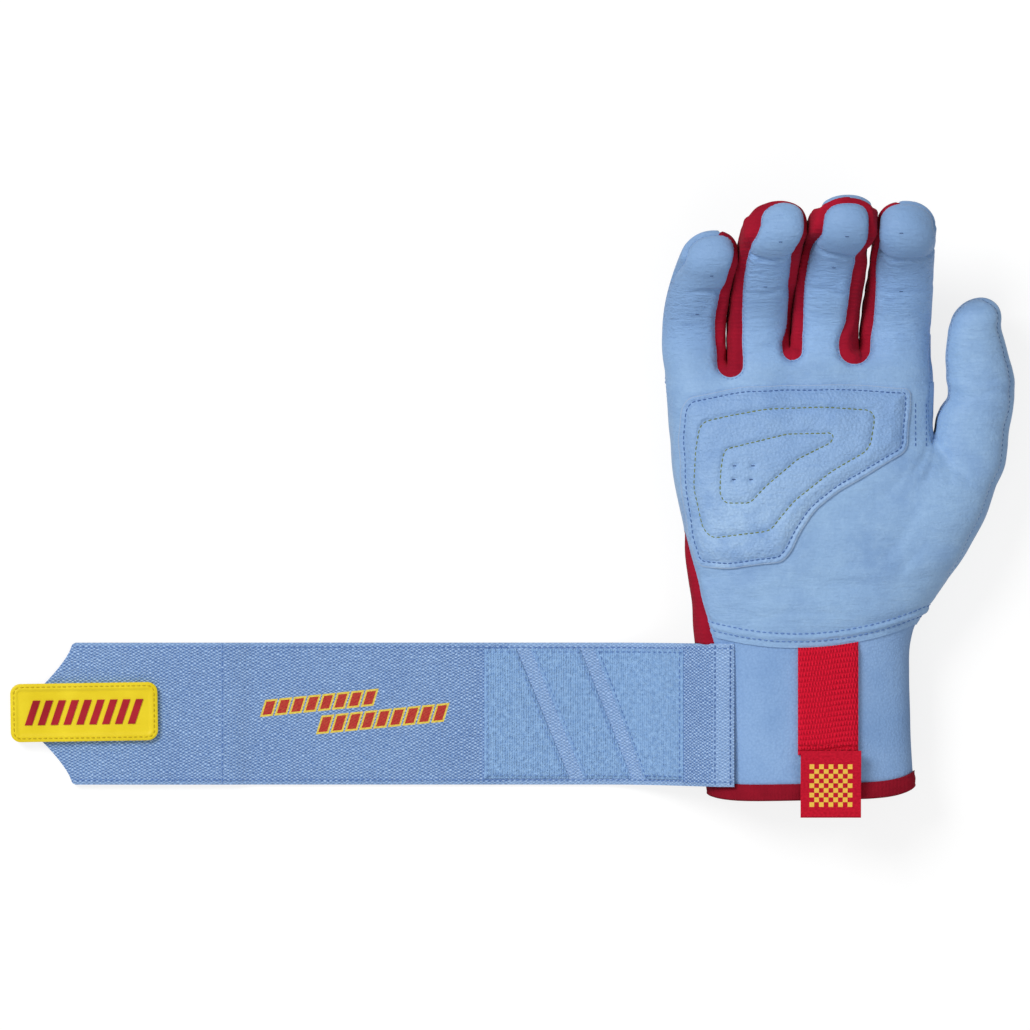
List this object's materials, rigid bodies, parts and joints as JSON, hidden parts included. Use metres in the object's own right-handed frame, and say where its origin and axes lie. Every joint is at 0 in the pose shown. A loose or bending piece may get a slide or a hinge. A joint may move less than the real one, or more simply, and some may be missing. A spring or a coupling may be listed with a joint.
{
  "type": "batting glove",
  "caption": "Right-hand leather batting glove with stretch finger walls, a padded palm, a neoprene cuff and a long hook-and-loop wrist strap laid open.",
  "frame": {"origin": "under the middle of the part's box, on the table that the glove lies on", "axes": "+X to the thumb side and away from the strap's end, +Y to the fingertips, +Z out of the palm"},
  "size_m": [0.3566, 0.2192, 0.0578],
  "materials": {
    "leather": "soft satin, finely grained",
    "stretch": "matt knitted stretch fabric",
    "neoprene": "matt jersey on neoprene",
    "webbing": "matt woven elastic",
    "loop": "short brushed pile",
    "hook": "moulded hooks on tape",
    "badge": "soft moulded, satin",
    "tab": "ribbed woven tape",
    "foam": "closed-cell foam sheet"
  },
  "bodies": {
    "hand": {"palm_leather": "leather", "back_leather": "leather", "ulnar_gusset": "stretch", "cuff": "neoprene", "hem_binding": "stretch", "web_pinky_ring": "stretch", "web_ring_middle": "stretch", "web_middle_index": "stretch", "palm_pad_foam": "foam", "palm_pad": "leather", "strap_anchor": "webbing", "strap_ulnar_upper": "webbing", "loop_patch_shoulder": "loop", "pull_tab_webbing": "tab"},
    "pinky": {"pinky_front": "leather", "pinky_back": "leather", "pinky_fourchette_radial": "stretch"},
    "ring": {"ring_front": "leather", "ring_back": "leather", "ring_fourchette_ulnar": "stretch", "ring_fourchette_radial": "stretch"},
    "middle": {"middle_front": "leather", "middle_back": "leather", "middle_fourchette_ulnar": "stretch", "middle_fourchette_radial": "stretch"},
    "index": {"index_front": "leather", "index_back": "leather", "index_fourchette_ulnar": "stretch"},
    "thumb": {"thumb_front": "leather", "thumb_back": "leather"},
    "strap_1": {"strap_ulnar_lower": "webbing", "loop_patch_ulnar": "loop"},
    "strap_2": {"strap_back": "webbing", "loop_patch_wedge": "loop", "loop_patch_mid": "loop", "loop_patch_far": "loop"},
    "strap_3": {"strap_radial_lower": "webbing"},
    "strap_4": {"strap_radial_upper": "webbing"},
    "strap_5": {"strap_palm": "webbing", "hook_patch_inner": "hook"},
    "strap_6": {"strap_end": "webbing", "hook_patch_outer": "hook", "pull_badge": "badge"},
    "label": {"pull_tab_label": "tab"}
  },
  "joints": [
    {"name": "pinky_flex", "type": "hinge", "parent": "hand", "child": "pinky", "pos_m": [0.06688, 0.04484, 0.02646], "axis": [1, 0, 0], "range_deg": [0, 80]},
    {"name": "ring_flex", "type": "hinge", "parent": "hand", "child": "ring", "pos_m": [0.08898, 0.04484, 0.02796], "axis": [1, 0, 0], "range_deg": [0, 80]},
    {"name": "middle_flex", "type": "hinge", "parent": "hand", "child": "middle", "pos_m": [0.11238, 0.04484, 0.02836], "axis": [1, 0, 0], "range_deg": [0, 80]},
    {"name": "index_flex", "type": "hinge", "parent": "hand", "child": "index", "pos_m": [0.13728, 0.04484, 0.02736], "axis": [1, 0, 0], "range_deg": [0, 80]},
    {"name": "thumb_flex", "type": "hinge", "parent": "hand", "child": "thumb", "pos_m": [0.15188, 0.02484, 0.02866], "axis": [0.8, -0.6, 0], "range_deg": [0, 45]},
    {"name": "strap_fold_1", "type": "hinge", "parent": "hand", "child": "strap_1", "pos_m": [0.0595, -0.0735, 0.01317], "axis": [0, -1, 0], "range_deg": [0, 88.3]},
    {"name": "strap_fold_2", "type": "hinge", "parent": "strap_1", "child": "strap_2", "pos_m": [0.04472, -0.0735, 0.00256], "axis": [0, -1, 0], "range_deg": [0, 90.6]},
    {"name": "strap_fold_3", "type": "hinge", "parent": "strap_2", "child": "strap_3", "pos_m": [-0.02227, -0.0735, 0.00006], "axis": [0, -1, 0], "range_deg": [0, 53.3]},
    {"name": "strap_fold_4", "type": "hinge", "parent": "strap_3", "child": "strap_4", "pos_m": [-0.04527, -0.0735, 0.00006], "axis": [0, -1, 0], "range_deg": [0, 74]},
    {"name": "strap_fold_5", "type": "hinge", "parent": "strap_4", "child": "strap_5", "pos_m": [-0.07227, -0.0735, 0.00006], "axis": [0, -1, 0], "range_deg": [0, 55.5]},
    {"name": "strap_fold_6", "type": "hinge", "parent": "strap_5", "child": "strap_6", "pos_m": [-0.13465, -0.0735, 0.00156], "axis": [0, -1, 0], "range_deg": [0, 54.6]},
    {"name": "label_flip", "type": "hinge", "parent": "hand", "child": "label", "pos_m": [0.11268, -0.08586, 0.03354], "axis": [1, 0, 0], "range_deg": [-150, 0]}
  ],
  "couplings": [
    {"joint": "strap_fold_2", "follows": "strap_fold_1", "ratio": 1.025},
    {"joint": "strap_fold_3", "follows": "strap_fold_4", "ratio": 0.718},
    {"joint": "strap_fold_5", "follows": "strap_fold_4", "ratio": 0.748}
  ]
}
